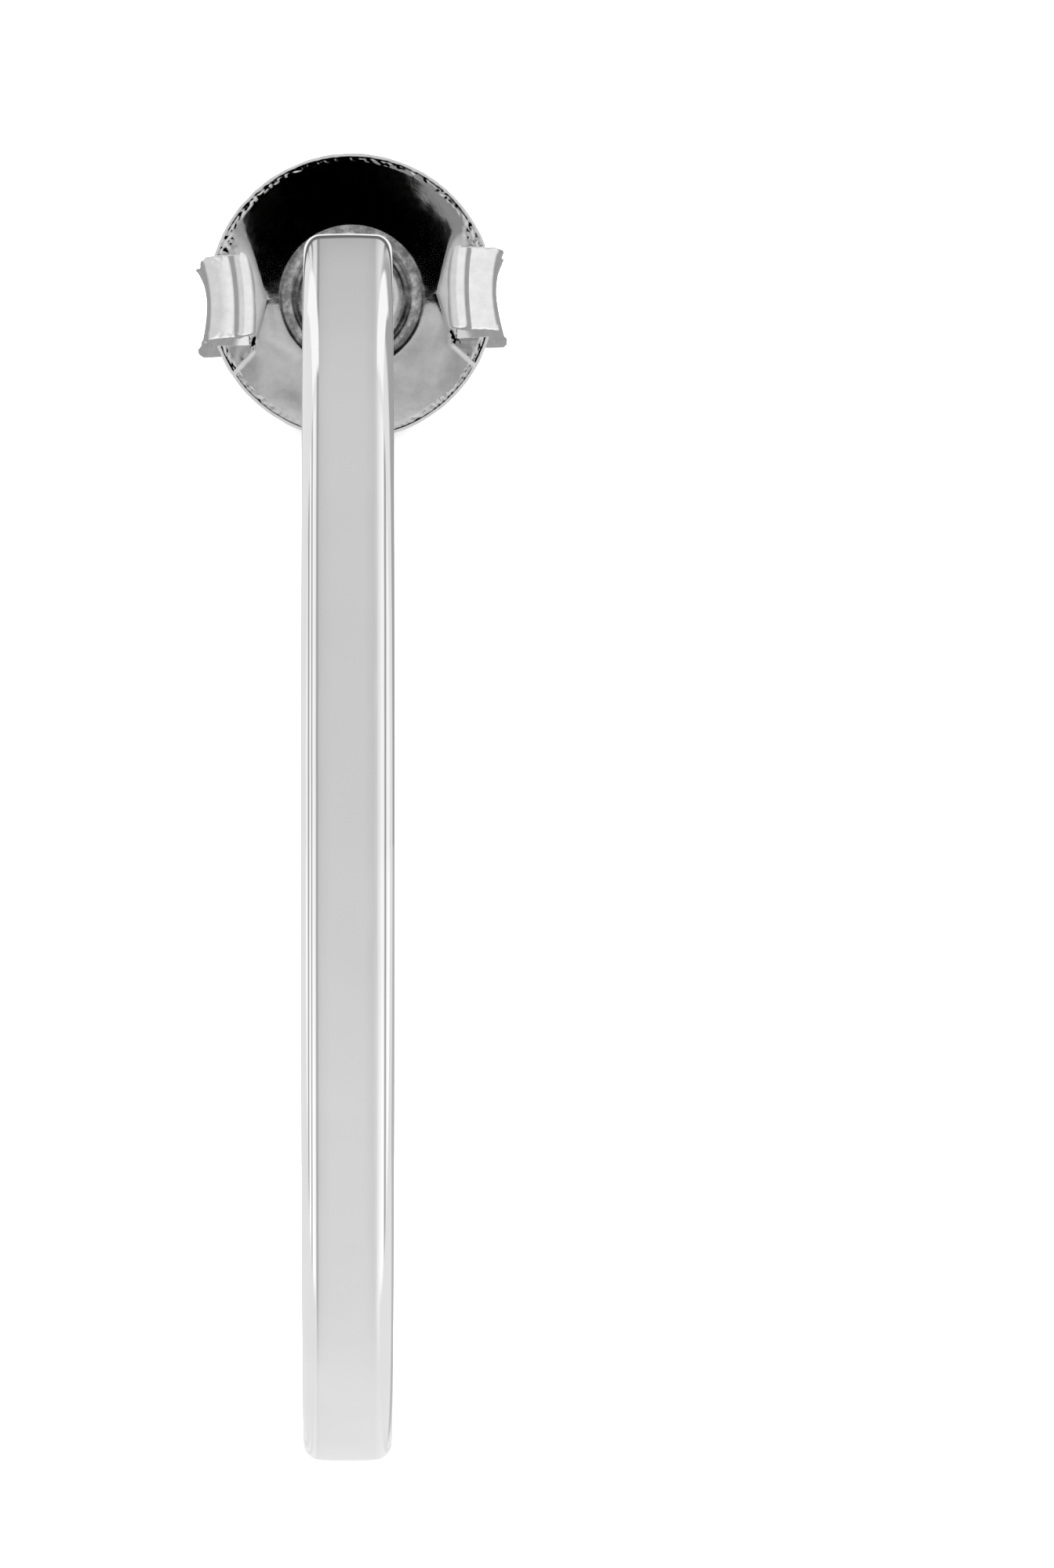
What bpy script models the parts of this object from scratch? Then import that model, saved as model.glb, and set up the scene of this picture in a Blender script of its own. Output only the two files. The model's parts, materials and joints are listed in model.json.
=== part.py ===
"""A half hoop earring of square silver bar, with a straight post and a butterfly clutch that slides on it.

Each piece is modelled in the frame of a person looking at the worn earring: X to the right, Y up the earring and
Z out of the lobe towards that person. An empty then leans the earring to the way it stands by itself on a table,
bridged between the tip of the bar and the two scrolls of the clutch, with the middle of its footprint at the origin.
"""

import math

import bmesh
import bpy

MM = 0.001

# The half hoop
HOOP_HEIGHT = 25.0 * MM
BAR_WIDTH = 1.79 * MM
BAR_THICKNESS = 1.79 * MM
BAR_EDGE_RADIUS = 0.30 * MM
BAR_FACE_CROWN = 0.02 * MM
BAR_END_RADIUS = 0.18 * MM
POST_RADIUS = 0.42 * MM
POST_LENGTH = 8.6 * MM
POST_TIP_RADIUS = 0.24 * MM
POST_ROOT = 0.7 * MM

# The clutch: a sheet with a dished disc, a boss round its hole, and two tabs that roll back into scrolls.
# It has a little play on the post, so it sits slightly to one side and turned.
LOBE_GAP = 6.0 * MM
CLUTCH_OFFSET = 0.08 * MM
CLUTCH_TURN = math.radians(2.0)
SHEET = 0.28 * MM
DISC_RADIUS = 3.03 * MM
DISC_DISH = 0.40 * MM
BOSS_RADIUS = 1.50 * MM
BOSS_HEIGHT = 0.24 * MM
HOLE_CLEARANCE = 0.33 * MM

# The tabs: their back layers are lower than their fronts and drawn in at the middle. The disc is cut away behind
# a tab, a little less tall than the tab is, so the tab's two edges lap the disc's sheet.
TAB_HEIGHT = 2.20 * MM
TAB_SHEET = 0.24 * MM
TAB_DROP = 0.08 * MM
TAB_TAPER = 0.13
TAB_WAIST = 0.27 * MM
TAB_WAIST_DEPTH = 0.90 * MM
TAB_LAP = 0.10 * MM
WINDOW_ROOT = 2.02 * MM

# The middle of a tab's sheet, from its root in the disc, over the roll and round the scroll to its free end
# by the post: distance from the post's axis, and height over the disc's flat middle, both in mm.
TAB_LINE = (
    # out, height
    (1.78, 0.07),
    (1.98, 0.20),
    (2.12, 0.31),
    (2.28, 0.31),
    (2.39, 0.19),
    (2.47, 0.01),
    (2.59, -0.10),
    (2.80, -0.17),
    (3.01, -0.36),
    (3.14, -0.76),
    (3.17, -1.25),
    (3.05, -1.90),
    (2.62, -2.50),
    (2.10, -2.66),
    (1.62, -2.42),
    (1.33, -1.85),
    (1.25, -1.25),
)

# How finely round shapes are cut
ARC_STEPS = 60
CORNER_STEPS = 4
END_STEPS = 3
POST_SIDES = 16
DISC_SIDES = 64
DISH_RINGS = 3
BOSS_RINGS = 6
TAB_STEPS = 4
TAB_ROWS = 6

OUTER_RADIUS = HOOP_HEIGHT / 2
POST_HEIGHT = OUTER_RADIUS - BAR_THICKNESS / 2
HOLE_RADIUS = POST_RADIUS + HOLE_CLEARANCE


def clear_scene():
    for obj in list(bpy.data.objects):
        bpy.data.objects.remove(obj)


def silver(name, roughness):
    """Polished silver as a Principled material."""
    material = bpy.data.materials.new(name)
    material.use_nodes = True
    shader = material.node_tree.nodes["Principled BSDF"]
    shader.inputs["Base Color"].default_value = (0.86, 0.86, 0.87, 1.0)
    shader.inputs["Metallic"].default_value = 1.0
    shader.inputs["Roughness"].default_value = roughness
    return material


def mesh_object(name, points, faces, material=None):
    """An object from points and faces, with its faces turned outwards."""
    mesh = bpy.data.meshes.new(name)
    mesh.from_pydata(points, [], faces)
    shell = bmesh.new()
    shell.from_mesh(mesh)
    bmesh.ops.recalc_face_normals(shell, faces=shell.faces)
    shell.to_mesh(mesh)
    shell.free()
    mesh.shade_smooth()
    mesh.set_sharp_from_angle(angle=math.radians(40))
    if material:
        mesh.materials.append(material)
    obj = bpy.data.objects.new(name, mesh)
    bpy.context.scene.collection.objects.link(obj)
    return obj


def loop_faces(rings, ring_size, closed):
    """Quads between neighbouring rings of points, and a cap on each end where the rings don't close."""
    faces = []
    for ring in range(rings if closed else rings - 1):
        here, there = ring * ring_size, (ring + 1) % rings * ring_size
        for k in range(ring_size):
            following = (k + 1) % ring_size
            faces.append((here + k, here + following, there + following, there + k))
    if not closed:
        faces.append(tuple(range(ring_size)))
        faces.append(tuple((rings - 1) * ring_size + k for k in range(ring_size)))
    return faces


def join(obj, other, operation):
    """A Boolean of another object, which then is a guide and not a piece."""
    modifier = obj.modifiers.new(f"{operation.lower()} {other.name}", "BOOLEAN")
    modifier.operation = operation
    modifier.object = other
    modifier.solver = "EXACT"
    other.hide_render = True
    other.display_type = "WIRE"


def bar_section(inset):
    """The bar's rounded square, drawn in by inset: distance across, and out from the hoop's centre."""
    radius = BAR_EDGE_RADIUS - inset
    across = BAR_WIDTH / 2 - BAR_EDGE_RADIUS
    inner = OUTER_RADIUS - BAR_THICKNESS + BAR_EDGE_RADIUS
    outer = OUTER_RADIUS - BAR_EDGE_RADIUS - BAR_FACE_CROWN
    corners = ((across, inner, -90), (across, outer, 0), (-across, outer, 90), (-across, inner, 180))
    section = []
    for x, out, start in corners:
        for k in range(CORNER_STEPS + 1):
            turn = math.radians(start + 90 * k / CORNER_STEPS)
            section.append((x + radius * math.cos(turn), out + radius * math.sin(turn)))
        if start == 0:
            for share in (0.5, 0.0, -0.5):
                rise = BAR_FACE_CROWN * (1 - share**2)
                section.append((across * share, outer + radius + rise))
    return section


def bar_stations():
    """Angle up the half circle and inset of each ring, from the tip to the post's end, with rounded ends."""
    end = []
    for k in range(END_STEPS):
        turn = math.radians(90 * k / END_STEPS)
        along = BAR_END_RADIUS * (1 - math.cos(turn)) / OUTER_RADIUS
        end.append((math.pi / 2 - along, BAR_END_RADIUS * (1 - math.sin(turn))))
    straight = math.pi / 2 - BAR_END_RADIUS / OUTER_RADIUS
    middle = [(straight * (2 * k / ARC_STEPS - 1), 0.0) for k in range(ARC_STEPS + 1)]
    return [(-angle, inset) for angle, inset in end] + middle + end[::-1]


def hoop_points():
    points = []
    for angle, inset in bar_stations():
        for x, out in bar_section(inset):
            points.append((x, out * math.sin(angle), out * math.cos(angle)))
    return points


def make_post():
    """The straight post, from inside the bar's top end back through the lobe, with a rounded tip."""
    stations = [(POST_ROOT, POST_RADIUS)]
    for k in range(END_STEPS + 1):
        turn = math.radians(90 * k / END_STEPS)
        depth = POST_LENGTH - POST_TIP_RADIUS * (1 - math.sin(turn))
        stations.append((-depth, POST_RADIUS - POST_TIP_RADIUS * (1 - math.cos(turn))))
    points = []
    for z, radius in stations:
        for k in range(POST_SIDES):
            turn = math.tau * (k + 0.5) / POST_SIDES
            points.append((radius * math.cos(turn), POST_HEIGHT + radius * math.sin(turn), z))
    return mesh_object("post_guide", points, loop_faces(len(stations), POST_SIDES, closed=False))


def make_half_hoop(material):
    """The bent bar with the post soldered into its top end, as one solid."""
    points = hoop_points()
    section_size = len(bar_section(0.0))
    hoop = mesh_object(
        "half_hoop", points, loop_faces(len(points) // section_size, section_size, closed=False), material
    )
    post = make_post()
    join(hoop, post, "UNION")
    return hoop, post


def disc_height(radius):
    """Height of the middle of the disc's sheet: a shallow cone outside the boss, a round ridge on the boss."""
    if radius >= BOSS_RADIUS:
        return DISC_DISH * (radius - BOSS_RADIUS) / (DISC_RADIUS - BOSS_RADIUS)
    share = (BOSS_RADIUS - radius) / (BOSS_RADIUS - HOLE_RADIUS)
    return BOSS_HEIGHT * (1 - math.cos(math.tau * share)) / 2


def make_disc(material):
    radii = [HOLE_RADIUS + (BOSS_RADIUS - HOLE_RADIUS) * k / BOSS_RINGS for k in range(BOSS_RINGS)]
    radii += [BOSS_RADIUS + (DISC_RADIUS - BOSS_RADIUS) * k / DISH_RINGS for k in range(DISH_RINGS + 1)]
    front = [(radius, disc_height(radius) + SHEET / 2) for radius in radii]
    back = [(radius, disc_height(radius) - SHEET / 2) for radius in reversed(radii)]
    points = []
    for k in range(DISC_SIDES):
        turn = math.tau * k / DISC_SIDES
        points += [(r * math.cos(turn), r * math.sin(turn), z) for r, z in front + back]
    faces = loop_faces(DISC_SIDES, len(front) + len(back), closed=True)
    return mesh_object("butterfly_clutch", points, faces, material)


def smooth_line(rows, steps):
    """A Catmull-Rom curve through the rows, with this many steps between neighbours."""
    ends = [rows[0]] + list(rows) + [rows[-1]]
    line = []
    for before, here, there, after in zip(ends, ends[1:], ends[2:], ends[3:]):
        for k in range(steps):
            t = k / steps
            line.append(tuple(
                0.5 * (2 * b + (c - a) * t + (2 * a - 5 * b + 4 * c - d) * t**2 + (3 * b - a - 3 * c + d) * t**3)
                for a, b, c, d in zip(before, here, there, after)
            ))
    return line + [tuple(rows[-1])]


def tab_points(side):
    """Rings of points round the tab's sheet, one ring at each step of its line, on the side +1 or -1."""
    line = smooth_line([(out * MM, height * MM) for out, height in TAB_LINE], TAB_STEPS)
    points = []
    for k, (out, height) in enumerate(line):
        before, after = line[max(k - 1, 0)], line[min(k + 1, len(line) - 1)]
        run, rise = after[0] - before[0], after[1] - before[1]
        length = math.hypot(run, rise)
        shift = (-rise / length * TAB_SHEET / 2, run / length * TAB_SHEET / 2)
        depth = min(1.0, max(0.0, -height / TAB_WAIST_DEPTH))
        half = TAB_HEIGHT / 2 * (1 - TAB_TAPER * depth)
        for face in (1, -1):
            rows = [2 * row / TAB_ROWS - 1 for row in range(TAB_ROWS + 1)]
            for row in rows if face == 1 else reversed(rows):
                waist = TAB_WAIST * depth * (1 - abs(row) ** 1.5)
                x = out + face * shift[0] - waist
                points.append((side * x, row * half - TAB_DROP, height + face * shift[1]))
    return points


def make_tab(side, name):
    points = tab_points(side)
    ring_size = 2 * (TAB_ROWS + 1)
    return mesh_object(name, points, loop_faces(len(points) // ring_size, ring_size, closed=False))


def make_window(side, name):
    """The piece of the disc that a tab takes the place of, from the tab's root out past the rim."""
    near, far = WINDOW_ROOT, 2 * DISC_RADIUS
    above, below = TAB_HEIGHT / 2 - TAB_LAP - TAB_DROP, -TAB_HEIGHT / 2 + TAB_LAP - TAB_DROP
    outline = ((near, below), (far, below), (far, above), (near, above))
    points = [(side * x, y, z) for z in (-DISC_RADIUS, DISC_RADIUS) for x, y in outline]
    return mesh_object(name, points, loop_faces(2, 4, closed=False))


def make_butterfly_clutch(material):
    """The stamped clutch: the disc, cut away at both sides, and the tabs rolled back from it, as one solid."""
    clutch = make_disc(material)
    guides = []
    for side, word in ((1, "right"), (-1, "left")):
        window, tab = make_window(side, f"window_guide_{word}"), make_tab(side, f"tab_guide_{word}")
        join(clutch, window, "DIFFERENCE")
        join(clutch, tab, "UNION")
        guides += [window, tab]
    return clutch, guides


def turned_on_post(x, y):
    """Where a point of the clutch lies once it is turned on the post and pushed to one side."""
    turn = complex(x, y) * complex(math.cos(CLUTCH_TURN), math.sin(CLUTCH_TURN))
    return turn.real + CLUTCH_OFFSET, turn.imag + POST_HEIGHT


def standing_lean():
    """The lean at which the bar's tip and the lower scroll are level, found by halving."""
    hoop = [(y, z) for _, y, z in hoop_points()]
    scrolls = [(turned_on_post(x, y)[1], z - LOBE_GAP) for side in (1, -1) for x, y, z in tab_points(side)]
    low, high = 0.0, math.radians(45)
    for _ in range(50):
        lean = (low + high) / 2
        tip, foot = (min(y * math.sin(lean) + z * math.cos(lean) for y, z in piece) for piece in (hoop, scrolls))
        low, high = (lean, high) if tip > foot else (low, lean)
    return lean, foot


def footprint_middle(lean):
    """The middle of the leaned earring along the table, from the bar's front to the disc's far rim."""
    disc = [
        (POST_HEIGHT + DISC_RADIUS, disc_height(DISC_RADIUS) + face * SHEET / 2 - LOBE_GAP) for face in (1, -1)
    ]
    reach = [y * math.cos(lean) - z * math.sin(lean) for _, y, z in hoop_points()]
    reach += [y * math.cos(lean) - z * math.sin(lean) for y, z in disc]
    return (min(reach) + max(reach)) / 2


clear_scene()
half_hoop, post_guide = make_half_hoop(silver("polished silver bar", 0.06))
butterfly_clutch, clutch_guides = make_butterfly_clutch(silver("stamped silver sheet", 0.14))

lean, foot = standing_lean()
stand = bpy.data.objects.new("stand", None)
bpy.context.scene.collection.objects.link(stand)
stand.rotation_euler = (lean, 0.0, 0.0)
stand.location = (-CLUTCH_OFFSET, -footprint_middle(lean), -foot)
for piece in (half_hoop, post_guide, butterfly_clutch, *clutch_guides):
    piece.parent = stand
for piece in (butterfly_clutch, *clutch_guides):
    piece.location = (*turned_on_post(0.0, 0.0), -LOBE_GAP)
    piece.rotation_euler = (0.0, 0.0, CLUTCH_TURN)
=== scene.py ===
# %% [markdown]
# # A half hoop earring
#
# The real object is a short length of square silver bar, bent to half a circle and polished, with a
# straight post soldered into its top end. A stamped clutch with a large round disc is pushed onto the
# post from behind. Both pieces come from a CAD model, which gives their places and sizes. This lesson
# rebuilds them as finer meshes over that model, gives them their finishes, and sets up the studio that
# polished silver needs, because a mirror shows nothing but what stands round it.

# %% The frame from the CAD model
import json
import math

import bmesh
import bpy
import numpy as np
from mathutils import Matrix, Vector, noise


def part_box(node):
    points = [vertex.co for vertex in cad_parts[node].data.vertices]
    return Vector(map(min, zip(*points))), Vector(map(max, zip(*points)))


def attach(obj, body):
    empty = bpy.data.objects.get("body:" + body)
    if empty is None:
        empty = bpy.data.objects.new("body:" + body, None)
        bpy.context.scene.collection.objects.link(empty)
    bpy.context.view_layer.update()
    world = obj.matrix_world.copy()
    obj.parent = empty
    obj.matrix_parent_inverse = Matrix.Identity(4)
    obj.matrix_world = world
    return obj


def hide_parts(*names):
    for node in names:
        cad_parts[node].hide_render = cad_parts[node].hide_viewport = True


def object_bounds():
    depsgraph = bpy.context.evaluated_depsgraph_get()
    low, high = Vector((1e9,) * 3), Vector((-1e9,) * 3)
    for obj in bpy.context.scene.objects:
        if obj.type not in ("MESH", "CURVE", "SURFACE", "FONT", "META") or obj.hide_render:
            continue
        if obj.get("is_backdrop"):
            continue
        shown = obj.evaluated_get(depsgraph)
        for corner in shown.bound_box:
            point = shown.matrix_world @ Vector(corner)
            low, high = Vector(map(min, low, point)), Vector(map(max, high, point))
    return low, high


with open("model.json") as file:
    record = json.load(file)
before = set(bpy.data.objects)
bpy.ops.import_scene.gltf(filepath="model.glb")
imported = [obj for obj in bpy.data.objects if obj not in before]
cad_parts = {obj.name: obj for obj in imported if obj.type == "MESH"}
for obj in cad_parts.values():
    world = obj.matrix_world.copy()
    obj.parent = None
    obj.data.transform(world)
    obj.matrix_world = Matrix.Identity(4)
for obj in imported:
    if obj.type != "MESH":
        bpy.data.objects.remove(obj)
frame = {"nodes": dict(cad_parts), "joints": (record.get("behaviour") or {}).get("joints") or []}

cad_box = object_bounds()
print("nodes", sorted(frame["nodes"]))
print("box", [[round(1000 * v, 2) for v in corner] for corner in cad_box])

# %% [markdown]
# ## Where things are
#
# The earring stands as an arch on the table, so it is tipped back from the upright. It is far easier to
# model it upright: X to the right, Y up the earring and Z out of its front, in millimetres, with the
# middle of the half circle at zero. One matrix then tips the pieces into place. Its angle is the slide
# joint's, because the clutch slides along the post, and its place comes from the box of the bar, whose
# low Y side and top are one radius from the middle of the circle.

# %% The upright frame and its place on the table
MM = 0.001
OUTER_RADIUS = 12.5
BAR_HALF = 0.895
POST_HEIGHT = OUTER_RADIUS - BAR_HALF

slide_axis = frame["joints"][0]["axis"]
lean = math.atan2(slide_axis[1], -slide_axis[2])
bar_low, bar_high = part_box("half_hoop")
middle = Vector((
    (bar_low.x + bar_high.x) / 2,
    bar_low.y + OUTER_RADIUS * MM,
    bar_high.z - OUTER_RADIUS * MM,
))
upright = Matrix.Translation(middle) @ Matrix.Rotation(lean, 4, "X")
print("lean", round(math.degrees(lean), 2), "degrees")
print("middle of the circle at", [round(1000 * v, 3) for v in middle], "mm")

# %% [markdown]
# ## Helpers for bent wire and rolled sheet
#
# A bar, a wire, a dished disc and a rolled tab are all a cross-section carried along a line. Blender could
# sweep them with a curve and a bevel object, but a mesh made ring by ring lets each ring shrink, twist or
# crinkle. The helpers join rings into a mesh, put several meshes together, and at the end move an
# object's place into its points, as the CAD model's own meshes have it.

# %% A mesh from rings of points
def add_object(name, mesh, place):
    """Puts a mesh into the scene, in its place and smooth-shaded."""
    shell = bmesh.new()
    shell.from_mesh(mesh)
    bmesh.ops.recalc_face_normals(shell, faces=shell.faces)
    shell.to_mesh(mesh)
    shell.free()
    mesh.shade_smooth()
    obj = bpy.data.objects.new(name, mesh)
    bpy.context.scene.collection.objects.link(obj)
    obj.matrix_world = place
    return obj


def loft(name, rings, place, closed=False):
    """Joins rings of points, in millimetres, with quads; open ends are capped."""
    rings = np.asarray(rings, float)
    count, size = rings.shape[:2]
    around = np.arange(size)
    beside = (around + 1) % size
    faces = []
    for ring in range(count if closed else count - 1):
        here, there = ring * size, (ring + 1) % count * size
        faces += np.stack((here + around, here + beside, there + beside, there + around), 1).tolist()
    if not closed:
        faces += [list(range(size)), [(count - 1) * size + k for k in range(size)]]
    mesh = bpy.data.meshes.new(name)
    mesh.from_pydata((rings.reshape(-1, 3) * MM).tolist(), [], faces)
    return add_object(name, mesh, place)


# %% Putting meshes together
def merge(name, parts, place):
    """Several objects in the same place as one mesh."""
    shell = bmesh.new()
    for part in parts:
        shell.from_mesh(part.data)
        bpy.data.objects.remove(part)
    mesh = bpy.data.meshes.new(name)
    shell.to_mesh(mesh)
    shell.free()
    return add_object(name, mesh, place)


def settle(obj):
    """Moves an object's place into its points."""
    obj.data.transform(obj.matrix_world)
    obj.matrix_world = Matrix.Identity(4)


# %% [markdown]
# ## The bar
#
# The bar is drawn square wire, about 1.8 mm thick, annealed, bent round a mandrel and polished on a wheel,
# which rounds its long edges and its two ends. The edges matter most: on a mirror a rounded edge gathers
# the whole studio into a few thin stripes. So the section has many points in each corner and a front that
# is almost, but not quite, flat. It could be a bevelled box with a bend modifier, but then the corners
# would stretch round the outside of the curve.

# %% The bar's section
EDGE_RADIUS = 0.34
CROWN = 0.014


def bar_section(inset):
    """A rounded square, drawn in by inset: distance across, and out from the middle of the circle."""
    radius, across = EDGE_RADIUS - inset, BAR_HALF - EDGE_RADIUS
    section = []
    for x_side, out_side, start in ((1, -1, -90), (1, 1, 0), (-1, 1, 90), (-1, -1, 180)):
        for k in range(13):
            turn = math.radians(start + 7.5 * k)
            out = POST_HEIGHT + out_side * across - (CROWN if out_side > 0 else 0)
            section.append((x_side * across + radius * math.cos(turn), out + radius * math.sin(turn)))
        if start == 0:
            top = POST_HEIGHT + across + radius
            section += [(across * s, top - CROWN * s * s) for s in np.linspace(0.84, -0.84, 11)]
    return section


# %% The bar's sweep, with its rounded ends
END_RADIUS = 0.18
QUARTER = math.pi / 2

rounded_end = []
for a in np.radians(np.linspace(0, 84, 8)):
    back = END_RADIUS * (1 - math.cos(a)) / OUTER_RADIUS
    rounded_end.append((QUARTER - back, END_RADIUS * (1 - math.sin(a))))
straight = QUARTER - END_RADIUS / OUTER_RADIUS
steps = [(-angle, inset) for angle, inset in rounded_end]
steps += [(angle, 0.0) for angle in np.linspace(-straight, straight, 241)]
steps += rounded_end[::-1]
rings = [
    [(x, out * math.sin(angle), out * math.cos(angle)) for x, out in bar_section(inset)]
    for angle, inset in steps
]
bar = loft("bar", rings, upright)
print("bar", len(rings), "rings of", len(rings[0]), "points")

# %% [markdown]
# ## The post
#
# The post is a plain round wire, 0.84 mm thick, that goes through the ear. It is soldered into the end of
# the bar, and the solder leaves a small hollow fillet at its foot. Its tip is rounded so that it doesn't
# scratch. The bar and the post are one piece of metal once soldered, so they become one mesh here.

# %% The post with its solder fillet
POST_RADIUS = 0.42
POST_LENGTH = 8.6
FILLET = 0.16
TIP_RADIUS = 0.24

profile = [(0.5, POST_RADIUS)]
for a in np.radians(np.linspace(0, 90, 9)):
    profile.append((-FILLET * math.sin(a), POST_RADIUS + FILLET * (1 - math.sin(a))))
profile += [(-depth, POST_RADIUS) for depth in np.linspace(0.2, POST_LENGTH - 0.3, 40)]
for a in np.radians(np.linspace(0, 84, 9)):
    from_tip = TIP_RADIUS * (1 - math.sin(a))
    profile.append((-POST_LENGTH + from_tip, POST_RADIUS - TIP_RADIUS * (1 - math.cos(a))))
turns = np.radians(np.arange(0, 360, 7.5))
rings = [[(r * math.cos(t), POST_HEIGHT + r * math.sin(t), depth) for t in turns] for depth, r in profile]
post = loft("post", rings, upright)
half_hoop = merge("half_hoop_polished", (bar, post), upright)
settle(half_hoop)
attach(half_hoop, "earring")
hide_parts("half_hoop")
print("half hoop", len(half_hoop.data.polygons), "faces")

# %% [markdown]
# ## The clutch's disc
#
# The clutch is stamped from sheet: a disc, dished like a saucer so that its rim bears on the ear, with a
# raised boss round the hole. The dish is what makes it interesting to look at, because a hollow mirror
# turns the room upside down. A straight cone would show one flat tone, so the dish here grows steeper
# towards the rim, as a pressed one does. The boss is low and keeps the fine rings of the tool that
# pressed it.

# %% The clutch's place and the disc's profile
CLUTCH_OFFSET, CLUTCH_TURN = 0.08, math.radians(2)
LOBE_GAP = 6.0
HOLE_RADIUS, BOSS_RADIUS, DISC_RADIUS = 0.75, 1.50, 3.03
BOSS_HEIGHT, CREST_START, CREST_END = 0.12, 1.12, 1.22
DISH_HEIGHT, DISH_CURVE = 0.38, 1.45
TOOL_RING, TOOL_RING_PITCH = 0.004, 0.15
SHEET = 0.28

on_post = upright @ Matrix.Translation(Vector((CLUTCH_OFFSET, POST_HEIGHT, -LOBE_GAP)) * MM)
on_post = on_post @ Matrix.Rotation(CLUTCH_TURN, 4, "Z")


def soft_step(value, start, end):
    """0 before start, 1 past end, and smooth between; start may be the larger."""
    share = min(1.0, max(0.0, (value - start) / (end - start)))
    return share * share * (3 - 2 * share)


def disc_height(radius):
    """Height of the middle of the sheet over its flat part, in millimetres."""
    if radius < BOSS_RADIUS:
        hump = soft_step(radius, BOSS_RADIUS, CREST_END) * soft_step(radius, HOLE_RADIUS, CREST_START)
        tool_turn = math.tau * (radius - BOSS_RADIUS) / TOOL_RING_PITCH
        return BOSS_HEIGHT * hump - TOOL_RING * math.cos(tool_turn)
    return DISH_HEIGHT * ((radius - BOSS_RADIUS) / (DISC_RADIUS - BOSS_RADIUS)) ** DISH_CURVE - TOOL_RING


print("disc", DISC_RADIUS, "mm radius, rim", round(disc_height(DISC_RADIUS), 3), "mm high")

# %% [markdown]
# ## What the press does to the sheet
#
# Rolling the tabs pulls the sheet beside their roots a little way forwards with them. Below each tab a
# corner of the disc is sheared and bent back, which gives a small flat facet with a sharp edge, and the
# corner above each tab is crinkled. Smooth noise stands for everything that is uneven. It could be a
# texture with displacement, but noise worked out in Python moves the points themselves.

# %% The sheet near the tabs
FACET_TOP = 0.8


def crinkle(x, y, size, seed):
    """Smooth noise from -1 to 1 over the sheet, with features of about this size."""
    return noise.noise(Vector((x / size, y / size, seed)))


def tab_pull(x, y):
    """How far forwards a tab's root pulls the sheet, and how far its corners are bent back or crinkled."""
    side = abs(x)
    root = 1.74 + 0.30 * abs(y)
    pulled = 0.09 * soft_step(side, root, root + 0.48) * math.exp(-((abs(y) / 1.2) ** 6))
    pulled *= soft_step(y, -1.0, -0.75)
    bent = soft_step(y + side, 0.94, 1.04) * soft_step(side, 2.06, 2.11) * soft_step(y, -0.7, -FACET_TOP)
    bent *= 0.02 + 0.17 * (-y - FACET_TOP) - 0.03 * (side - 2.1) + 0.010 * crinkle(x, y, 0.15, 9.0)
    corner = soft_step(side, 2.35, 2.5) * math.exp(-(((y - 1.22) / 0.2) ** 2))
    return pulled - bent + 0.05 * corner * crinkle(x, y, 0.12, 5.0)


print("pull beside a tab", round(tab_pull(2.3, 0.0), 3), "mm, facet", round(tab_pull(2.3, -1.3), 3), "mm")

# %% [markdown]
# ## The disc's rings
#
# The disc is lofted round its hole from whole cut sections: front, rim, back and the edge of the hole.
# The cutting die leaves a row of small beads just inside the rim and a ragged edge, so fine noise lifts
# the points near there. The beads are deeper at the two sides, where the die drags towards the tabs.
# Broad noise makes the whole dish a little uneven. The steps between the rings are very small, because
# each bead is a tiny mirror of its own.

# %% The disc as sections round the hole
BEAD_RADIUS, BEAD_WIDTH, BEAD_SIZE = 2.93, 0.10, 0.085
RIM_ROUND, RIM_HALF = 0.10, 0.13
HOLE_EDGE, HOLE_HALF = 0.07, 0.12

radii = np.concatenate((
    np.linspace(HOLE_RADIUS + HOLE_EDGE, BOSS_RADIUS, 22),
    np.linspace(BOSS_RADIUS, 2.80, 30)[1:],
    np.linspace(2.80, DISC_RADIUS - 0.12, 10)[1:],
))


def disc_ring(turn):
    """The disc's whole cut section at one angle: front, rim, back and the edge of the hole."""
    c, s = math.cos(turn), math.sin(turn)
    points = []
    for r in radii:
        near_rim = max(0.0, 1 - abs(r - BEAD_RADIUS) / BEAD_WIDTH)
        lift = near_rim * (0.014 + (0.018 + 0.042 * abs(c)) * crinkle(r * c, r * s, BEAD_SIZE, 3.0))
        lift += 0.010 * crinkle(r * c, r * s, 1.1, 2.0) * soft_step(r, 1.5, 2.0)
        points.append((r, disc_height(r) + SHEET / 2 + lift + tab_pull(r * c, r * s)))
    edge = disc_height(DISC_RADIUS) + tab_pull(3 * c, 3 * s)
    ragged = RIM_ROUND + 0.4 * (0.022 * crinkle(3 * c, 3 * s, 0.22, 8.0))
    for a in np.radians((75, 60, 45, 30, 15, 0, -30, -60)):
        points.append((DISC_RADIUS - 0.11 + ragged * math.cos(a), edge + RIM_HALF * math.sin(a)))
    points += [(r, disc_height(r) - SHEET / 2 + tab_pull(r * c, r * s)) for r in radii[::-2]]
    for a in np.radians((-60, 0, 60)):
        out = HOLE_RADIUS + HOLE_EDGE - HOLE_EDGE * math.cos(a)
        points.append((out, disc_height(HOLE_RADIUS) + HOLE_HALF * math.sin(a)))
    return [(r * c, r * s, z) for r, z in points]


disc = loft("disc", [disc_ring(math.radians(a)) for a in np.arange(0, 360, 0.6)], on_post, closed=True)
print("disc", len(radii), "radii,", len(disc.data.polygons), "faces")

# %% [markdown]
# ## The windows behind the tabs
#
# Each tab is cut free from the disc on three sides and rolled back, so it leaves a window in the disc. The
# clean way to cut a window through a finished mesh is a Boolean with a plain block, which is only a tool
# and is deleted afterwards.

# %% Cutting the windows
WINDOW_ROOT, WINDOW_HALF = 2.20, 0.95


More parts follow.
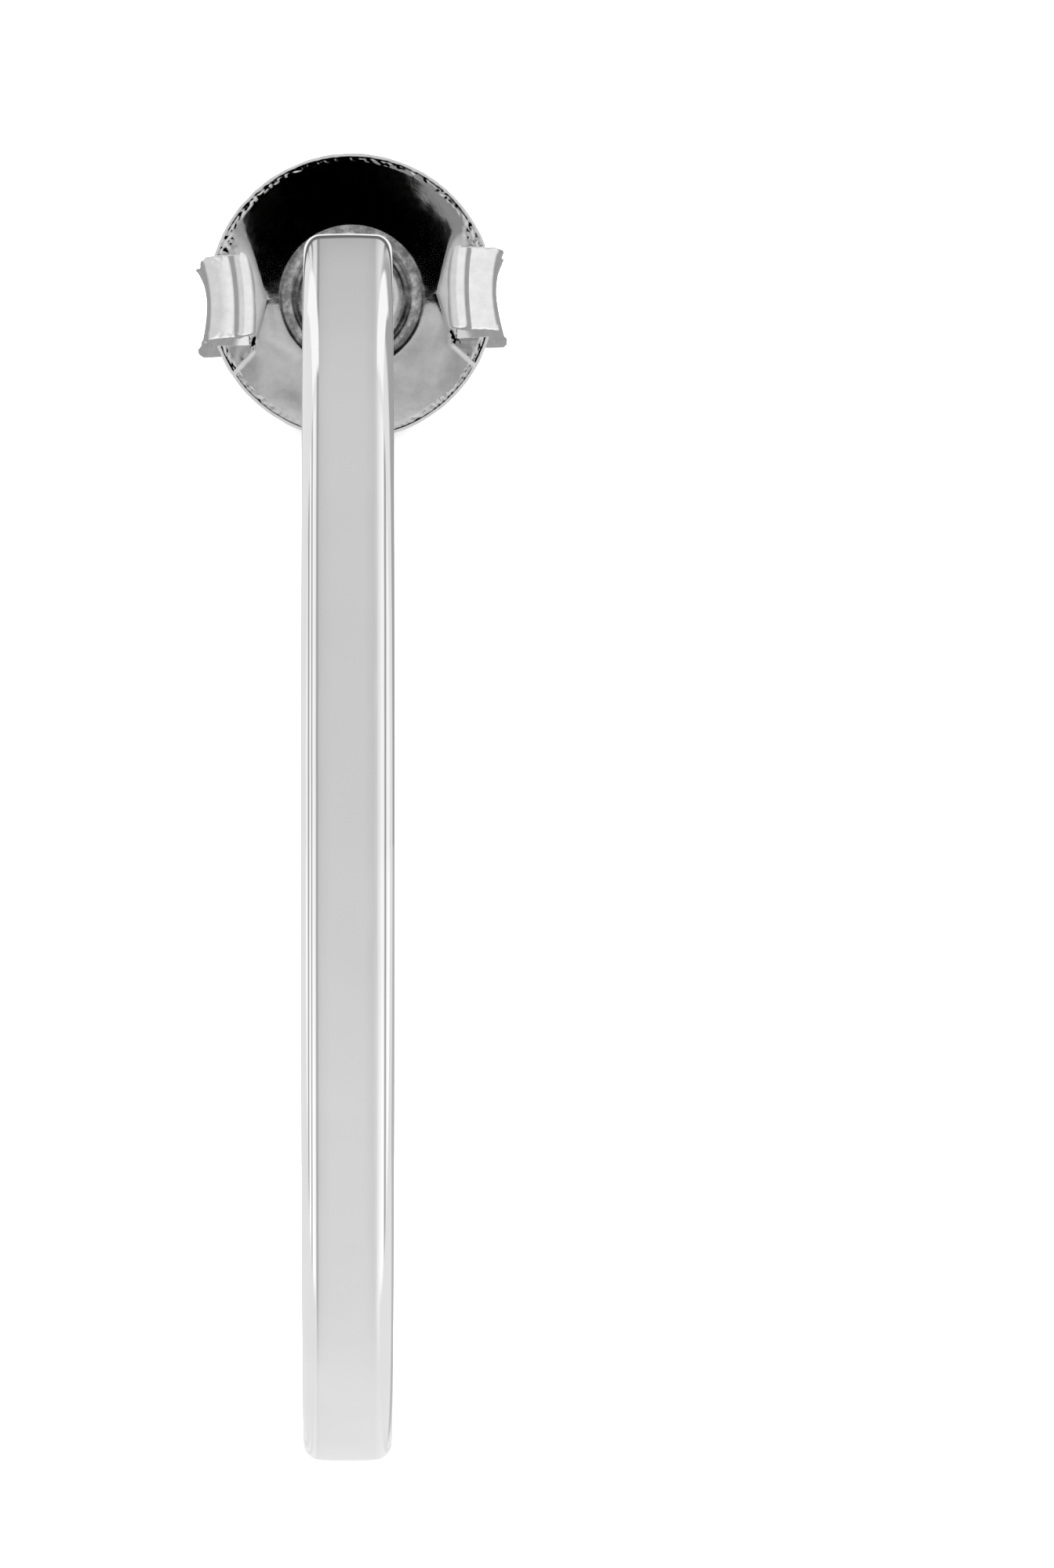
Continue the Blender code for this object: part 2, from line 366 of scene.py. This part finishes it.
def cut(obj, low, high):
    """Removes a block, given by two corners in the object's own millimetres, from a mesh."""
    corners = [[x, y, z] for x in (low[0], high[0]) for y in (low[1], high[1]) for z in (low[2], high[2])]
    mesh = bpy.data.meshes.new("block")
    mesh.from_pydata(
        [[v * MM for v in corner] for corner in corners], [],
        [(0, 1, 3, 2), (4, 6, 7, 5), (0, 4, 5, 1), (2, 3, 7, 6), (0, 2, 6, 4), (1, 5, 7, 3)],
    )
    block = add_object("block", mesh, obj.matrix_world)
    cutter = obj.modifiers.new("window", "BOOLEAN")
    cutter.operation, cutter.object, cutter.solver = "DIFFERENCE", block, "EXACT"
    bpy.context.view_layer.update()
    done = bpy.data.meshes.new_from_object(obj.evaluated_get(bpy.context.evaluated_depsgraph_get()))
    obj.modifiers.clear()
    obj.data = done
    bpy.data.objects.remove(block)


cut(disc, (WINDOW_ROOT, -WINDOW_HALF, -1), (4, WINDOW_HALF, 1))
cut(disc, (-4, -WINDOW_HALF, -1), (-WINDOW_ROOT, WINDOW_HALF, 1))
print("disc with its windows", len(disc.data.polygons), "faces")

# %% [markdown]
# ## The tabs
#
# A tab rises from the disc as a tight roll, dips through a crease, runs out as a flat panel and then curls
# back behind the disc into a scroll that springs against the post. From the front one sees the roll, the
# crease, the panel and the flared corners of the layer behind it. The line below is the middle of the
# sheet, from root to free end, and its last two columns are how far the tab reaches above and below.

# %% The tab's line
TAB_LINE = (
    # out, height, reach up, reach down
    (1.90, -0.06, 0.76, 0.72),
    (2.04, 0.07, 0.88, 0.74),
    (2.15, 0.23, 1.00, 0.76),
    (2.24, 0.28, 1.06, 0.77),
    (2.32, 0.22, 1.08, 0.78),
    (2.35, 0.06, 1.06, 0.78),
    (2.39, -0.05, 1.03, 0.78),
    (2.50, -0.09, 1.00, 0.79),
    (2.66, -0.10, 0.99, 0.79),
    (2.82, -0.13, 0.98, 0.80),
    (2.97, -0.20, 0.96, 0.84),
    (3.07, -0.40, 0.90, 0.94),
    (3.14, -0.76, 0.82, 1.06),
    (3.17, -1.25, 0.80, 1.09),
    (3.05, -1.90, 0.80, 1.06),
    (2.62, -2.50, 0.82, 1.01),
    (2.10, -2.66, 0.85, 0.99),
    (1.62, -2.42, 0.88, 0.98),
    (1.33, -1.85, 0.90, 0.96),
    (1.25, -1.25, 0.90, 0.95),
)


def smooth_line(rows, steps):
    """A Catmull-Rom curve through the rows."""
    rows = np.asarray((rows[0], *rows, rows[-1]), float)
    t = np.arange(steps)[:, None] / steps
    pieces = [
        0.5 * (2 * b + (c - a) * t + (2 * a - 5 * b + 4 * c - d) * t**2 + (3 * b - a - 3 * c + d) * t**3)
        for a, b, c, d in zip(rows, rows[1:], rows[2:], rows[3:])
    ]
    return np.concatenate((*pieces, rows[-1:]))


tab_line = smooth_line(TAB_LINE, 8)
print("tab line", len(tab_line), "steps")

# %% [markdown]
# ## The tabs' sheet
#
# The tab's section is a strip with two faces and two rounded edges. Behind the disc the curl draws the
# middle of the strip in towards the post and leaves its corners out, so that its outline is waisted. Its
# upper and lower edges are torn rather than cut, and noise roughens them most at the flared corners. The
# clutch is one piece of metal, but disc and tabs stay two meshes, so that each can be lit on its own.

# %% The tabs as sections along the line
TAB_SHEET = 0.24
WAIST = 0.27
TEAR = 0.16


def tab_ring(here, along, side):
    """The tab's cut section at one step of its line: two faces and two rounded edges."""
    out, height, up, down = here
    across = Vector((-along[1], along[0])).normalized() * TAB_SHEET / 2
    depth = min(1.0, max(0.0, -height / 0.9))  # 0 at the disc, 1 well behind it
    ring = []
    shares = np.linspace(-1, 1, 49)
    for face, rows in ((1, shares), (-1, shares[::-1])):
        for row in rows:
            y = row * (up if row > 0 else down)
            waist = WAIST * depth * (1 - abs(row) ** 1.6)
            near_edge = max(0.0, 1 - (1 - abs(row)) / 0.07)
            soft = 1 - 0.75 * near_edge**2
            torn = max(0.0, 1 - (1 - abs(row)) / 0.22) * (0.25 + 0.75 * depth)
            rough = TEAR * torn * soft_step(height, -1.4, -0.9) * crinkle(out + side, y, 0.11, height)
            bow = (0.11 if row > 0 else 0.04) * row * row * (1 - depth)
            x = out + face * across.x * soft - waist + rough + bow
            ring.append((side * x, y + 0.4 * rough, height + face * across.y * soft + rough))
    return ring


def make_tab(side):
    directions = np.gradient(tab_line, axis=0)
    return loft("tab", [tab_ring(here, along, side) for here, along in zip(tab_line, directions)], on_post)


disc = merge("clutch_disc", (disc,), on_post)
tabs = merge("clutch_tabs", (make_tab(1), make_tab(-1)), on_post)
for piece in (disc, tabs):
    settle(piece)
    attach(piece, "clutch")
    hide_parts("butterfly_clutch")
    print(piece.name, len(piece.data.polygons), "faces")

# %% [markdown]
# ## Writing shader maths as Python
#
# A material is a net of nodes. Wiring it by hand hides the idea, so one small class wraps a socket: the
# signs + - * / between sockets and numbers add Math nodes, and every other node comes from one method that
# takes the node's type, its settings and what goes into its sockets.

# %% Sockets as values
class Value:
    """The output of a node in a material."""

    def __init__(self, socket):
        self.socket = socket

    def maths(self, operation, first, second):
        return Nodes(self.socket.id_data).node(
            "ShaderNodeMath", {"operation": operation}, {0: first, 1: second}
        )

    def __add__(self, other):
        return self.maths("ADD", self, other)

    def __sub__(self, other):
        return self.maths("SUBTRACT", self, other)

    def __rsub__(self, other):
        return self.maths("SUBTRACT", other, self)

    def __mul__(self, other):
        return self.maths("MULTIPLY", self, other)

    def __truediv__(self, other):
        return self.maths("DIVIDE", self, other)

    def __rtruediv__(self, other):
        return self.maths("DIVIDE", other, self)

    __radd__, __rmul__ = __add__, __mul__


# %% Nodes from their type, settings and sockets
class Nodes:
    """A material's node tree."""

    def __init__(self, tree):
        self.tree = tree

    def node(self, kind, settings=None, sockets=None, output=0):
        """Adds a node: its settings first, then numbers, colours or Values into its sockets."""
        made = self.tree.nodes.new(kind)
        for name, setting in (settings or {}).items():
            if name == "stops":
                ramp = made.color_ramp
                while len(ramp.elements) < len(setting):
                    ramp.elements.new(1.0)
                for element, (position, grey) in zip(ramp.elements, setting):
                    element.position, element.color = position, (grey, grey, grey, 1)
            else:
                setattr(made, name, setting)
        shown = [s for s in made.inputs if s.enabled]
        for name, value in (sockets or {}).items():
            socket = shown[name] if isinstance(name, int) else next(s for s in shown if s.name == name)
            self.put(socket, value)
        return Value([s for s in made.outputs if s.enabled][output])

    def put(self, socket, value):
        if isinstance(value, Value):
            self.tree.links.new(value.socket, socket)
        else:
            socket.default_value = value


# %% Three expressions that come up often
def rise(nodes, value, start, end):
    """0 where value is below start, 1 above end, and smooth between; start may be the larger."""
    return nodes.node(
        "ShaderNodeMapRange", {"interpolation_type": "SMOOTHSTEP"},
        {"Value": value, "From Min": start, "From Max": end, "To Min": 0.0, "To Max": 1.0},
    )


def absolute(nodes, value):
    return nodes.node("ShaderNodeMath", {"operation": "ABSOLUTE"}, {0: value})


def towards(tone, goal, share):
    """The tone, moved towards a goal by a share from 0 to 1."""
    return tone + (goal - tone) * share


# %% [markdown]
# ## Polished silver
#
# Silver reflects about nine tenths of the light at every colour, so it is a metal with a near-white base
# colour and almost no roughness. A polishing mop leaves hair-fine marks and a very slight waviness, and
# both show on a real bar as stripes that waver. Noise stretched into streaks varies the roughness. A much
# larger, softer noise, with a trace of the streaks, goes through a Bump node, and it tints the base
# colour a little. The two flat sides face along X. An emery stick finishes them and the mop hardly
# reaches them, so they are more satin: a mask of the distance from the middle plane raises their
# roughness. The same mask darkens their base colour, which is painted shade.

# %% The bar's silver
def metal(name):
    """A material of bare metal, with its tree and its shader."""
    material = bpy.data.materials.new(name)
    material.use_nodes = True
    shader = material.node_tree.nodes["Principled BSDF"]
    shader.inputs["Metallic"].default_value = 1.0
    return material, Nodes(material.node_tree), shader


polished, nodes, shader = metal("polished silver")
place = nodes.node("ShaderNodeTexCoord", output=3)
marks = nodes.node("ShaderNodeMapping", {}, {"Vector": place, "Scale": (9000.0, 900.0, 900.0)})
streaks = nodes.node("ShaderNodeTexNoise", {}, {"Vector": marks, "Scale": 1.0, "Detail": 3.0})
cloud = nodes.node("ShaderNodeTexNoise", {}, {"Vector": place, "Scale": 700.0, "Detail": 1.0})
from_middle = absolute(nodes, nodes.node("ShaderNodeSeparateXYZ", {}, {"Vector": place}) - middle.x)
# mask of the two flat sides: more roughness there, and painted shade in the base colour
satin_flank_and_painted_shade = rise(nodes, from_middle, (BAR_HALF - 0.023) * MM, (BAR_HALF - 0.003) * MM)
nodes.put(shader.inputs["Roughness"], 0.012 + 0.03 * streaks + 0.16 * satin_flank_and_painted_shade)
# painted shade: the base colour of the two flat sides is made up to three tenths darker
nodes.put(shader.inputs["Base Color"], (0.855 + 0.05 * cloud) * (1 - 0.30 * satin_flank_and_painted_shade))
waves = {"Strength": 0.05, "Distance": 0.0001, "Height": cloud + 0.05 * streaks}
nodes.put(shader.inputs["Normal"], nodes.node("ShaderNodeBump", {}, waves))
half_hoop.data.materials.append(polished)
print("polished silver:", len(polished.node_tree.nodes), "nodes")

# %% [markdown]
# ## Stamped silver
#
# The clutch is the same metal, but it goes from the press to the tumbling barrel and never sees a polishing
# mop. Its faces are bright and slightly uneven, like calm water. Two sizes of noise make the unevenness,
# and the finer one also varies the roughness and the tone. The barrel does little to the small boss, so it
# stays rougher. Its base colour is also darker from its crest outwards. The distance from the middle of
# the hole says where.

# %% The clutch's silver
stamped, nodes, shader = metal("stamped silver")
place = nodes.node("ShaderNodeTexCoord", output=3)
grain = {"Vector": place, "Scale": 4200.0, "Detail": 4.0, "Roughness": 0.65}
mottle = nodes.node("ShaderNodeTexNoise", {}, grain)
ripple = nodes.node("ShaderNodeTexNoise", {}, {"Vector": place, "Scale": 1500.0, "Detail": 2.0})
to_hole = {0: place, 1: on_post.translation}
from_hole = nodes.node("ShaderNodeVectorMath", {"operation": "DISTANCE"}, to_hole)
boss = rise(nodes, from_hole, (BOSS_RADIUS + 0.07) * MM, BOSS_RADIUS * MM)
outer_boss = boss * rise(nodes, from_hole, (CREST_START - 0.10) * MM, CREST_START * MM)
nodes.put(shader.inputs["Roughness"], 0.03 + 0.10 * mottle + 0.12 * boss)
greys = {"stops": ((0.0, 0.28), (0.3, 0.81), (0.7, 0.93))}
tone = nodes.node("ShaderNodeValToRGB", greys, {"Fac": mottle - 0.42 * outer_boss})
nodes.put(shader.inputs["Base Color"], tone)
waves = {"Strength": 0.05, "Distance": 0.0001, "Height": ripple + 0.22 * mottle}
nodes.put(shader.inputs["Normal"], nodes.node("ShaderNodeBump", {}, waves))
for piece in (disc, tabs):
    piece.data.materials.append(stamped)
print("stamped silver:", len(stamped.node_tree.nodes), "nodes")

# %% [markdown]
# ## The floor
#
# The floor is plain white card under one very large, soft lamp, lit until it burns out to white and keeps
# only a breath of shadow. A photographer shades the card so that the metal doesn't see it. Here the floor,
# the lamp and the white room round them are each switched off for reflections alone. What the metal sees
# instead comes next.

# %% White card for a floor
FLOOR_REACH = 1.5


def stage_mesh(name, mesh, material):
    """A piece of the studio; it isn't part of the earring."""
    mesh.materials.append(material)
    obj = bpy.data.objects.new(name, mesh)
    bpy.context.scene.collection.objects.link(obj)
    obj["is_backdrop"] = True
    return obj


white_card = bpy.data.materials.new("white card")
white_card.use_nodes = True
shader = white_card.node_tree.nodes["Principled BSDF"]
shader.inputs["Base Color"].default_value = (0.9, 0.9, 0.9, 1)
shader.inputs["Roughness"].default_value = 0.9
mesh = bpy.data.meshes.new("floor")
corners = [(FLOOR_REACH * x, FLOOR_REACH * y, 0) for x, y in ((-1, -1), (1, -1), (1, 1), (-1, 1))]
mesh.from_pydata(corners, [], [(0, 1, 2, 3)])
stage_mesh("floor", mesh, white_card).visible_glossy = False
print("floor", 2 * FLOOR_REACH, "m wide")

# %% The overhead lamp and the room
lamp = bpy.data.lights.new("overhead", "AREA")
lamp.shape, lamp.size, lamp.energy = "DISK", 0.5, 7.0
overhead = bpy.data.objects.new("overhead", lamp)
overhead.location = (0, 0, 0.45)
overhead.visible_glossy = False
bpy.context.scene.collection.objects.link(overhead)

world = bpy.data.worlds.new("room")
bpy.context.scene.world = world
world.use_nodes = True
world.node_tree.nodes["Background"].inputs["Color"].default_value = (1, 1, 1, 1)
world.cycles_visibility.glossy = False
bpy.context.scene.view_settings.view_transform = "Standard"
print("overhead lamp", lamp.energy, "W")

# %% [markdown]
# ## A tent for each piece
#
# Small polished silver is photographed inside a white tent with grey and black cards standing in it,
# because in an all-white room a mirror has no edges. The photographer shades each piece in turn. Here each
# piece has a tent of its own, a huge glowing dome that lets everything else through, and light linking
# shows it to that piece alone. Its brightness depends only on the direction: across, up and out of the
# earring's front. At this size the pieces would mirror one another over and over, which scrambles the
# cards into noise, so they are left out of reflections.

# %% A dome that one piece sees
def glow(name):
    """A material that adds its light and is otherwise clear, with its tree and its emission shader."""
    material = bpy.data.materials.new(name)
    material.use_nodes = True
    material.cycles.emission_sampling = "NONE"
    tree = material.node_tree
    tree.nodes.remove(tree.nodes["Principled BSDF"])
    kinds = ("Emission", "BsdfTransparent", "AddShader")
    emission, clear, both = (tree.nodes.new(f"ShaderNode{kind}") for kind in kinds)
    tree.links.new(emission.outputs[0], both.inputs[0])
    tree.links.new(clear.outputs[0], both.inputs[1])
    tree.links.new(both.outputs[0], tree.nodes["Material Output"].inputs["Surface"])
    return material, Nodes(tree), emission


def tent(name, piece, radius, pattern):
    """A dome round the table whose brightness is pattern(nodes, across, up, out)."""
    material, nodes, emission = glow(name)
    place = nodes.node("ShaderNodeTexCoord", output=3)
    direction = nodes.node("ShaderNodeVectorMath", {"operation": "NORMALIZE"}, {0: place})
    turn = {"Vector": direction, "Angle": -lean}
    turned = nodes.node("ShaderNodeVectorRotate", {"rotation_type": "X_AXIS"}, turn)
    parts = nodes.node("ShaderNodeSeparateXYZ", {}, {"Vector": turned}).socket.node
    nodes.put(emission.inputs["Color"], pattern(nodes, *(Value(socket) for socket in parts.outputs)))
    shell = bmesh.new()
    bmesh.ops.create_icosphere(shell, subdivisions=4, radius=radius)
    mesh = bpy.data.meshes.new(name)
    shell.to_mesh(mesh)
    shell.free()
    dome = stage_mesh(name, mesh, material)
    for kind in ("camera", "diffuse", "shadow", "transmission", "volume_scatter"):
        setattr(dome, f"visible_{kind}", False)
    seen_by = bpy.data.collections.new(f"{name} is seen by")
    seen_by.objects.link(piece)
    dome.light_linking.receiver_collection = seen_by
    piece.visible_glossy = False
    print(name, len(material.node_tree.nodes), "nodes, seen by", piece.name)


# %% [markdown]
# ## What the bar sees
#
# The flat front of a bent bar turns once from straight up to straight down, so it shows the tent's
# brightness from behind the top, over the front, to behind the foot: greyer at the top and lighter at the
# foot. Its rounded edges turn sideways instead, and show the cards left and right of it as thin stripes.
# A surface that throws a direction straight forwards faces halfway between the two, so its sideways tip
# is across divided by the root of 2 + 2 out. Cards laid out by that tip give stripes that run parallel to
# the bar, and they fade at the foot. Further back the sides are pale, with one grey card behind on the
# right for the dark edge there. Two white cards above and a little behind make the bright wedges beside
# the top, and a dark ring round a bright spot straight behind draws the fine lines round the bar's end.
#
# Most of these greys were read off a photograph of such an earring, place by place on the bar, worked back
# through the mirror to the direction each place shows, and adjusted by comparing renders with it. The ends
# of both ramps and the cards outside them were set one by one.

# %% The tones along the bar and the stripes beside them
FRONT_TONES = (
    (0.000, 0.83), (0.158, 0.83), (0.222, 0.80), (0.281, 0.77), (0.375, 0.755), (0.456, 0.71),
    (0.500, 0.69), (0.530, 0.685), (0.753, 0.68), (0.822, 0.63), (0.883, 0.585), (0.936, 0.50),
    (0.960, 0.46),
)
EDGE_STRIPES = (
    (0.146, 0.74), (0.192, 0.70), (0.211, 0.27), (0.231, 0.27), (0.253, 0.78), (0.280, 0.80),
    (0.298, 0.30), (0.314, 0.30), (0.336, 0.74), (0.398, 0.72), (0.424, 0.50), (0.442, 0.28),
    (0.455, 0.30), (0.475, 0.46), (0.485, 0.49), (0.515, 0.49), (0.523, 0.45), (0.535, 0.56),
    (0.576, 0.66), (0.658, 0.76), (0.689, 0.74), (0.718, 0.28), (0.739, 0.22), (0.756, 0.50),
    (0.781, 0.76), (0.854, 0.74),
)


def wedge_card(nodes, side, around):
    """Where the two white cards stand that make the wedges beside the bar's top."""
    card = rise(nodes, side - 2.0 * (around - 0.779), 0.0, 0.05) * rise(nodes, side, 0.50, 0.46)
    card = card * rise(nodes, side, 0.07, 0.12)
    return card * rise(nodes, around, 0.770, 0.785) * rise(nodes, around, 0.93, 0.90)


# %% The bar's tent
def bar_tent(nodes, across, up, out):
    """Tones by the angle round the bar, stripes, pale sides, a grey edge, wedges and the ring behind."""
    around = nodes.node("ShaderNodeMath", {"operation": "ARCTAN2"}, {0: up, 1: out}) / math.tau + 0.5
    front = nodes.node("ShaderNodeValToRGB", {"stops": FRONT_TONES}, {"Fac": around})
    # 2.02 instead of 2 keeps the root above zero straight behind
    tip = across / nodes.node("ShaderNodeMath", {"operation": "SQRT"}, {0: 2.02 + 2.0 * out})
    stripes = nodes.node("ShaderNodeValToRGB", {"stops": EDGE_STRIPES}, {"Fac": 0.5 * tip + 0.5})
    strength = 0.12 + 0.88 * rise(nodes, around, 0.17, 0.26)
    tone = front * (1 + (2 * stripes - 1) * strength)
    side = absolute(nodes, across)
    tone = towards(tone, 0.84, rise(nodes, side, 0.15, 0.30) * rise(nodes, out, 0.0, -0.15))
    edge = rise(nodes, across, 0.15, 0.30) * rise(nodes, out, -0.42, -0.58) * rise(nodes, up, -0.34, -0.24)
    tone = towards(tone, 0.40, edge * (0.75 + 0.25 * rise(nodes, around, 0.10, 0.30)))
    tone = towards(tone, 1.05, wedge_card(nodes, side, around))
    behind = rise(nodes, up, 0.0, 0.03)
    tone = towards(tone, 0.14, behind * rise(nodes, out, -0.945, -0.960))
    return towards(tone, 0.98, behind * rise(nodes, out, -0.974, -0.984))


tent("tent_for_the_bar", half_hoop, 20.0, bar_tent)

# %% [markdown]
# ## What the clutch sees
#
# The clutch's disc is hollow, so its upper half looks down and its lower half looks up. A black card stands
# below the earring's front, which blackens the upper half of the disc, with one slanting end and a grey
# strip beside it. A crumpled grey sheet hangs above and fills the lower half, and what looks sideways or
# back sees pale grey. The rolled tabs stand in soft white light that is a little dimmer from the left and
# brightest from low in front, and grey from behind, most of all from low behind.

# %% The disc's tent
def disc_tent(nodes, across, up, out):
    """A black card and a grey strip below, a crumpled sheet above, pale grey beside and behind."""
    side = absolute(nodes, across)
    direction = nodes.node("ShaderNodeCombineXYZ", {}, {0: across, 1: up, 2: out})
    creases = nodes.node("ShaderNodeTexNoise", {}, {"Vector": direction, "Scale": 7.0, "Detail": 3.0})
    sheet = 0.47 - 0.12 * rise(nodes, side, 0.38, 0.50) + 0.12 * rise(nodes, up, 0.45, 0.62)
    sheet = sheet + 0.5 * (creases - 0.5)
    pale = 0.46 + 0.16 * rise(nodes, side, 0.6, 0.85)
    tone = towards(pale, sheet, rise(nodes, side, 0.70, 0.55))
    strip = rise(nodes, across, -0.64, -0.58) * rise(nodes, across, 0.0, -0.1) * rise(nodes, up, 0.04, 0.0)
    tone = towards(tone, 0.27, strip)
    black = rise(nodes, up, 0.085, 0.065) * rise(nodes, side, 0.49, 0.47)
    black = black * rise(nodes, -0.654 * up - across, 0.61, 0.59)
    return 0.68 + (tone * (1 - black) - 0.68) * rise(nodes, out, 0.42, 0.58)


tent("tent_for_the_disc", disc, 21.0, disc_tent)


# %% The tabs' tent
def tab_tent(nodes, across, up, out):
    """Soft white light from the front, grey from behind."""
    front = 0.92 - 0.20 * rise(nodes, across, -0.1, -0.5)
    back = 0.36 + 0.34 * rise(nodes, up, 0.2, 0.6)
    tone = towards(back, front, rise(nodes, out, -0.3, 0.35))
    return tone + 0.16 * rise(nodes, up, -0.25, -0.55) * rise(nodes, out, -0.2, 0.1)


tent("tent_for_the_tabs", tabs, 22.0, tab_tent)

# %% [markdown]
# ## The camera
#
# The camera looks straight at the front of the earring through a long lens from 165 mm, so the bar is a
# little wider in the middle, where it comes nearest. It is aimed beside the earring, which stands left of
# the middle of the picture. Shifting the lens would do that too, but a turned camera needs no shift.

# %% The camera
PICTURE = (1344, 2000)
PIXELS_PER_MM = 62.42
CIRCLE_AT = (443.5, 1080)
EYE = OUTER_RADIUS + 165.0

camera = bpy.data.objects.new("camera", bpy.data.cameras.new("camera"))
bpy.context.scene.collection.objects.link(camera)
camera.data.sensor_fit = "VERTICAL"
camera.data.sensor_height = 36
camera.data.lens = PIXELS_PER_MM * EYE / PICTURE[1] * camera.data.sensor_height
camera.data.clip_start = 0.01
aim_x = (PICTURE[0] / 2 - CIRCLE_AT[0]) / PIXELS_PER_MM
aim_y = (CIRCLE_AT[1] - PICTURE[1] / 2) / PIXELS_PER_MM
eye = upright @ (Vector((0, 0, EYE)) * MM)
backwards = (eye - upright @ (Vector((aim_x, aim_y, 0)) * MM)).normalized()
right = (upright.to_3x3() @ Vector((0, 1, 0))).cross(backwards).normalized()
turned = Matrix((right, backwards.cross(right), backwards)).transposed().to_4x4()
camera.matrix_world = Matrix.Translation(eye) @ turned
bpy.context.scene.camera = camera
print("camera", [round(v, 4) for v in eye], "lens", round(camera.data.lens, 1), "mm")

# %% Sizes and the last line
sizes = {name: [list(corner) for corner in box] for name, box in (("cad", cad_box), ("visual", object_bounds()))}
print("visual box", [[round(1000 * v, 2) for v in corner] for corner in sizes["visual"]])
